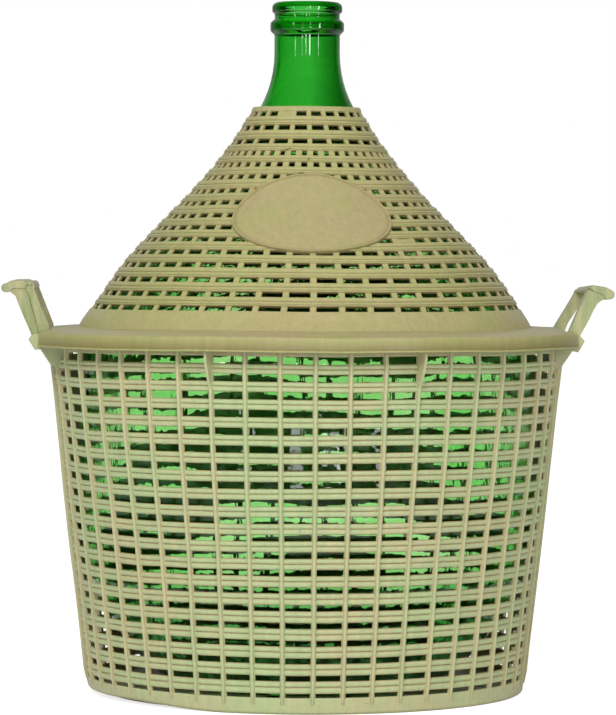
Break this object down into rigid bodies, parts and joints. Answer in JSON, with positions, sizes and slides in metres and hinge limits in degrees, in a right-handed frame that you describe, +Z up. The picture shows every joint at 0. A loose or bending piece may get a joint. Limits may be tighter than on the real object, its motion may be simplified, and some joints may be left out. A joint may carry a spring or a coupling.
{
  "type": "demijohn",
  "caption": "Large round glass demijohn standing in a moulded lattice basket, under a conical lattice cover that rests on the basket's rim between two upright handles.",
  "frame": {"origin": "centre of the basket's flat underside, on the surface that the demijohn stands on", "axes": "+Z up through the mouth, -Y towards the front with the oval plate, +X and -X towards the handles"},
  "size_m": [0.602, 0.5544, 0.687],
  "materials": {
    "basket_plastic": "pale grey-green moulded polyethylene with a soft satin surface",
    "green_glass": "deep green blown glass, smooth and clear",
    "cover_plastic": "warm olive-beige moulded polyethylene with a soft satin surface"
  },
  "bodies": {
    "basket": {"basket": "basket_plastic"},
    "bottle": {"glass_bottle": "green_glass"},
    "cover": {"cover": "cover_plastic"}
  },
  "joints": [
    {"name": "bottle_lift", "type": "slide", "parent": "basket", "child": "bottle", "axis": [0, 0, 1], "range_m": [0, 0.36]},
    {"name": "cover_lift", "type": "slide", "parent": "bottle", "child": "cover", "axis": [0, 0, 1], "range_m": [0, 0.36]}
  ]
}
